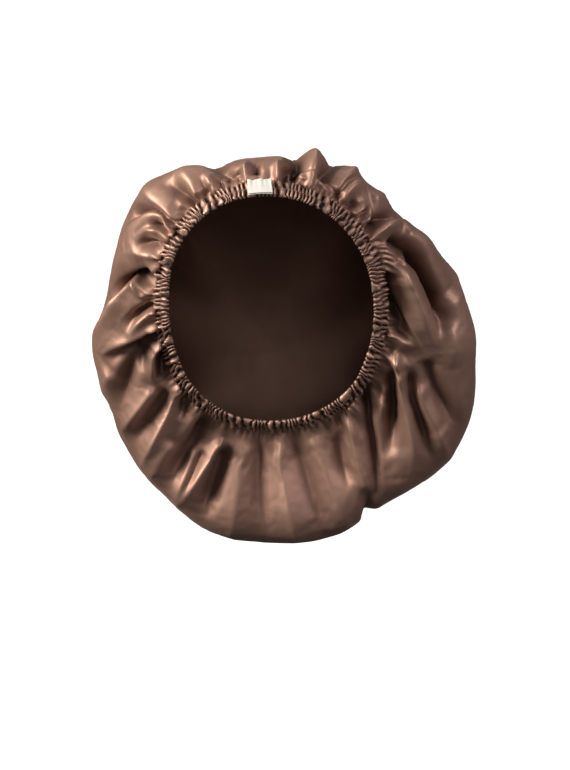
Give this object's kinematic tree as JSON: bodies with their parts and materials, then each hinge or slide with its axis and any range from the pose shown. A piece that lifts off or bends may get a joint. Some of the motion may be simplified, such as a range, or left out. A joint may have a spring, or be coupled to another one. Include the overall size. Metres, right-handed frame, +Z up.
{
  "type": "sleep bonnet",
  "caption": "Large round satin sleep bonnet in its worn form, gathered onto an elastic casing round the head opening, with a small blank label over the forehead.",
  "frame": {"origin": "the middle of the head opening, halfway between its sides and between the forehead and the nape", "axes": "-Y out of the head opening, the way the wearer looks; +X to the right as seen from the front; +Z up"},
  "size_m": [0.2888, 0.2504, 0.3001],
  "materials": {
    "satin": "rose-brown satin, glossy along the folds",
    "casing_satin": "the same satin, tightly gathered",
    "woven_label": "off-white woven tape, blank"
  },
  "bodies": {
    "root": {"crown": "satin", "elastic_casing": "casing_satin", "label": "woven_label"}
  },
  "joints": []
}
